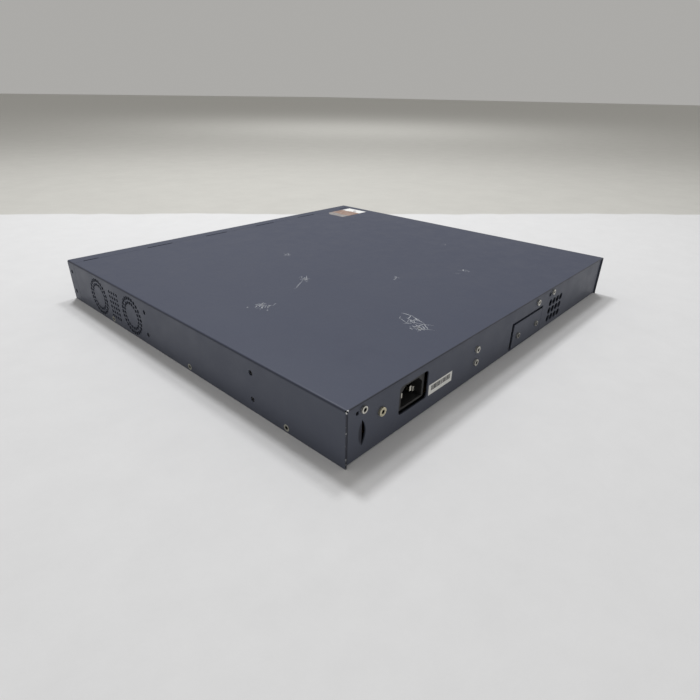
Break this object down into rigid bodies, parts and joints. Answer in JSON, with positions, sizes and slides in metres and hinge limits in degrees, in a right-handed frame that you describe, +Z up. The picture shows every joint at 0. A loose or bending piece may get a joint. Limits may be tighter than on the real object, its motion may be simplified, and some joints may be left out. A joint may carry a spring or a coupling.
{
  "type": "rackmount network switch",
  "caption": "Flat sheet-steel network switch with port blocks at the front, side fans, rack-ear holes, and a rear wall with a mains inlet, a slot cover and a vent grid.",
  "frame": {"origin": "middle of the case's underside", "axes": "+X along the case's width, +Y from the port side to the rear wall, +Z up"},
  "size_m": [0.44, 0.418, 0.0441],
  "materials": {
    "painted_steel": "satin, fine texture",
    "black_plastic": "matt",
    "copper": "enamelled winding",
    "zinc_screw": "zinc plated",
    "zinc_steel": "zinc plated",
    "dark_screw": "dark nickel",
    "brass_screw": "yellow passivated",
    "inlet_plastic": "satin moulded",
    "plated_brass": "nickel plated",
    "grey_plastic": "satin moulded",
    "contact_gold": "gold plated",
    "tin_steel": "tin plated",
    "blue_plastic": "satin moulded",
    "white_plastic": "satin moulded",
    "clear_plastic": "clear moulded",
    "green_board": "solder mask",
    "tan_board": "bare laminate",
    "chip_resin": "moulded resin",
    "ferrite": "matt ferrite",
    "black_aluminium": "black anodised",
    "bare_aluminium": "extruded",
    "can_aluminium": "drawn can",
    "can_sleeve": "shrink sleeve",
    "yellow_plastic": "moulded",
    "wire_sleeve": "wire insulation",
    "label_paper": "printed paper",
    "sticker_paper": "worn paper"
  },
  "bodies": {
    "chassis": {"top_cover": "painted_steel", "base_pan": "painted_steel", "front_frame": "painted_steel", "fan_frame_front": "black_plastic", "fan_stator_front": "copper", "fan_frame_rear": "black_plastic", "fan_stator_rear": "copper", "fan_screws": "zinc_screw", "fan_plugs": "white_plastic", "fan_leads": "wire_sleeve", "side_screws": "dark_screw", "rack_nuts": "zinc_steel", "rear_screws": "dark_screw", "ground_screw": "brass_screw", "inlet_housing": "inlet_plastic", "inlet_pins": "plated_brass", "slot_cover": "painted_steel", "slot_cover_screws": "dark_screw", "slot_frame": "zinc_steel", "jack_block_first": "grey_plastic", "jack_block_second": "grey_plastic", "jack_contacts": "contact_gold", "transceiver_cage": "tin_steel", "cage_connectors": "black_plastic", "console_jack": "blue_plastic", "button_switch": "black_plastic", "light_pipes": "clear_plastic", "lamp_stack": "black_plastic", "main_board": "green_board", "board_standoffs": "zinc_steel", "board_screws": "zinc_screw", "port_magnetics": "black_plastic", "port_chips": "chip_resin", "switch_chip": "chip_resin", "processor_chip": "chip_resin", "memory_chips": "chip_resin", "power_coils": "ferrite", "switch_heat_sink": "black_aluminium", "processor_heat_sink": "bare_aluminium", "board_capacitors": "can_aluminium", "expansion_connector": "black_plastic", "supply_board": "tan_board", "supply_standoffs": "zinc_steel", "supply_screws": "zinc_screw", "supply_transformer": "ferrite", "supply_capacitors": "can_sleeve", "supply_choke": "copper", "line_filter": "yellow_plastic", "supply_heat_sinks": "bare_aluminium", "supply_partition": "zinc_steel", "power_connectors": "white_plastic", "power_leads": "wire_sleeve", "rear_label": "label_paper", "top_sticker": "sticker_paper"},
    "fan_rotor_front": {"fan_rotor_front": "black_plastic"},
    "fan_rotor_rear": {"fan_rotor_rear": "black_plastic"},
    "mode_button": {"mode_button": "grey_plastic", "switch_plunger": "white_plastic"}
  },
  "joints": [
    {"name": "front_fan_spin", "type": "hinge", "parent": "chassis", "child": "fan_rotor_front", "pos_m": [0.2077, -0.1377, 0.021], "axis": [1, 0, 0], "continuous": true},
    {"name": "rear_fan_spin", "type": "hinge", "parent": "chassis", "child": "fan_rotor_rear", "pos_m": [0.2077, -0.0674, 0.021], "axis": [1, 0, 0], "continuous": true},
    {"name": "mode_button_press", "type": "slide", "parent": "chassis", "child": "mode_button", "axis": [0, 1, 0], "range_m": [0, 0.0005], "stiffness_N_per_m": 400}
  ]
}
